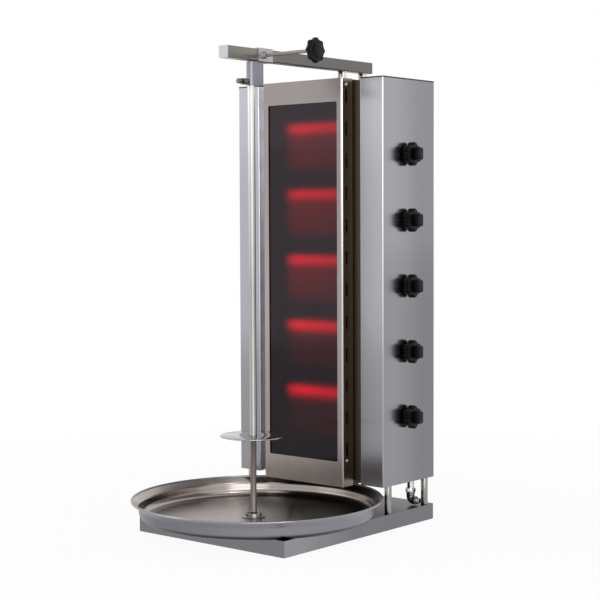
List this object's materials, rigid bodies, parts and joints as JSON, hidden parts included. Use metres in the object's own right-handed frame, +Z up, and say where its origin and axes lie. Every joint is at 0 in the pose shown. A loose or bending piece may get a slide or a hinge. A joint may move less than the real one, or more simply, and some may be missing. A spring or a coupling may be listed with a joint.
{
  "type": "gas doner kebab grill",
  "caption": "Upright gas doner grill: glass-fronted burner column, side control box with lobed knobs, round sliding drip pan, and a hand-turned spit hung from an overhanging top bar.",
  "frame": {"origin": "on the ground, under the middle of the bounding box, between the drip pan's front rim and the top bar's rear end", "axes": "+X to the object's right, the side with the control box and gas inlet; +Y to the back; +Z up"},
  "size_m": [0.554, 0.678, 1.0686],
  "materials": {
    "stainless_sheet": "brushed stainless sheet, upright grain",
    "stainless_turned": "turned stainless, fine rings",
    "stainless_tube": "brushed stainless tube and plate",
    "steel_fasteners": "zinc plated screws",
    "ceramic_glass": "dark heat resistant ceramic glass",
    "fibre_seal": "flat ceramic fibre tape",
    "burner_steel": "aluminised sheet darkened by heat",
    "burner_ceramic": "perforated burner ceramic",
    "brass": "machined brass",
    "gas_pipe": "plated steel pipe",
    "copper_lead": "copper sheathed thermocouple lead",
    "chrome_pipe": "chrome plated",
    "cast_elbow": "plated malleable iron, grey",
    "spindle_steel": "plated steel spindle",
    "black_bakelite": "black heat resistant phenolic",
    "bronze_bush": "sintered bronze"
  },
  "bodies": {
    "frame": {"base_tray": "stainless_sheet", "base_stiffeners": "stainless_sheet", "support_posts": "stainless_turned", "post_screws": "steel_fasteners", "case_screws": "steel_fasteners", "control_box_shell": "stainless_sheet", "control_box_top": "stainless_sheet", "left_box_shell": "stainless_sheet", "left_box_top": "stainless_sheet", "back_panel": "stainless_sheet", "tie_brackets": "stainless_sheet", "heater_casing": "stainless_sheet", "heater_top": "stainless_sheet", "heater_bottom": "stainless_sheet", "glass_frame": "stainless_sheet", "ceramic_glass": "ceramic_glass", "glass_seal": "fibre_seal", "burner_rails": "stainless_sheet", "burner_boxes": "burner_steel", "burner_plaques": "burner_ceramic", "burner_venturis": "burner_steel", "injectors": "brass", "feed_pipes": "gas_pipe", "thermocouples": "copper_lead", "gas_manifold": "gas_pipe", "valve_bodies": "brass", "inlet_nipple": "chrome_pipe", "inlet_nut": "chrome_pipe", "inlet_elbow": "cast_elbow", "bar_saddle": "stainless_tube", "bar_spacers": "stainless_turned", "bar_studs": "steel_fasteners", "top_bar": "stainless_tube", "bar_end_caps": "stainless_tube"},
    "pan_carriage": {"drip_pan": "stainless_sheet", "foot_socket": "stainless_turned", "foot_bush": "bronze_bush"},
    "spit": {"spit_rod": "stainless_turned"},
    "disc": {"meat_disc": "stainless_turned"},
    "holder": {"holder_sleeve": "stainless_tube", "spit_hanger": "stainless_tube", "latch_barrel": "stainless_turned"},
    "latch": {"latch_plunger": "stainless_turned"},
    "clamp": {"clamp_screw": "stainless_turned", "star_knob": "black_bakelite"},
    "valve_1": {"valve_plug_1": "brass"},
    "knob_1": {"spindle_1": "spindle_steel", "control_knob_1": "black_bakelite"},
    "valve_2": {"valve_plug_2": "brass"},
    "knob_2": {"spindle_2": "spindle_steel", "control_knob_2": "black_bakelite"},
    "valve_3": {"valve_plug_3": "brass"},
    "knob_3": {"spindle_3": "spindle_steel", "control_knob_3": "black_bakelite"},
    "valve_4": {"valve_plug_4": "brass"},
    "knob_4": {"spindle_4": "spindle_steel", "control_knob_4": "black_bakelite"},
    "valve_5": {"valve_plug_5": "brass"},
    "knob_5": {"spindle_5": "spindle_steel", "control_knob_5": "black_bakelite"}
  },
  "joints": [
    {"name": "pan_slide", "type": "slide", "parent": "frame", "child": "pan_carriage", "axis": [0, -1, 0], "range_m": [0, 0.075]},
    {"name": "holder_slide", "type": "slide", "parent": "frame", "child": "holder", "axis": [0, -1, 0], "range_m": [0, 0.075]},
    {"name": "spit_turn", "type": "hinge", "parent": "pan_carriage", "child": "spit", "pos_m": [0, -0.074, 0.5], "axis": [0, 0, 1], "continuous": true},
    {"name": "disc_lift", "type": "slide", "parent": "spit", "child": "disc", "axis": [0, 0, 1], "range_m": [0, 0.7]},
    {"name": "clamp_turn", "type": "hinge", "parent": "holder", "child": "clamp", "pos_m": [0.158, -0.046, 1.0416], "axis": [1, 0, 0], "range_deg": [0, 360]},
    {"name": "latch_pull", "type": "slide", "parent": "holder", "child": "latch", "axis": [0, -1, 0], "range_m": [0, 0.008], "stiffness_N_per_m": 800, "springref_m": -0.004},
    {"name": "valve_turn_1", "type": "hinge", "parent": "frame", "child": "valve_1", "pos_m": [0.1857, 0.206, 0.246], "axis": [1, 0, 0], "range_deg": [0, 180]},
    {"name": "knob_push_1", "type": "slide", "parent": "valve_1", "child": "knob_1", "axis": [-1, 0, 0], "range_m": [0, 0.004], "stiffness_N_per_m": 1500, "springref_m": -0.002},
    {"name": "valve_turn_2", "type": "hinge", "parent": "frame", "child": "valve_2", "pos_m": [0.1857, 0.206, 0.392], "axis": [1, 0, 0], "range_deg": [0, 180]},
    {"name": "knob_push_2", "type": "slide", "parent": "valve_2", "child": "knob_2", "axis": [-1, 0, 0], "range_m": [0, 0.004], "stiffness_N_per_m": 1500, "springref_m": -0.002},
    {"name": "valve_turn_3", "type": "hinge", "parent": "frame", "child": "valve_3", "pos_m": [0.1857, 0.206, 0.538], "axis": [1, 0, 0], "range_deg": [0, 180]},
    {"name": "knob_push_3", "type": "slide", "parent": "valve_3", "child": "knob_3", "axis": [-1, 0, 0], "range_m": [0, 0.004], "stiffness_N_per_m": 1500, "springref_m": -0.002},
    {"name": "valve_turn_4", "type": "hinge", "parent": "frame", "child": "valve_4", "pos_m": [0.1857, 0.206, 0.684], "axis": [1, 0, 0], "range_deg": [0, 180]},
    {"name": "knob_push_4", "type": "slide", "parent": "valve_4", "child": "knob_4", "axis": [-1, 0, 0], "range_m": [0, 0.004], "stiffness_N_per_m": 1500, "springref_m": -0.002},
    {"name": "valve_turn_5", "type": "hinge", "parent": "frame", "child": "valve_5", "pos_m": [0.1857, 0.206, 0.83], "axis": [1, 0, 0], "range_deg": [0, 180]},
    {"name": "knob_push_5", "type": "slide", "parent": "valve_5", "child": "knob_5", "axis": [-1, 0, 0], "range_m": [0, 0.004], "stiffness_N_per_m": 1500, "springref_m": -0.002}
  ],
  "couplings": [
    {"joint": "holder_slide", "follows": "pan_slide", "ratio": 1}
  ]
}
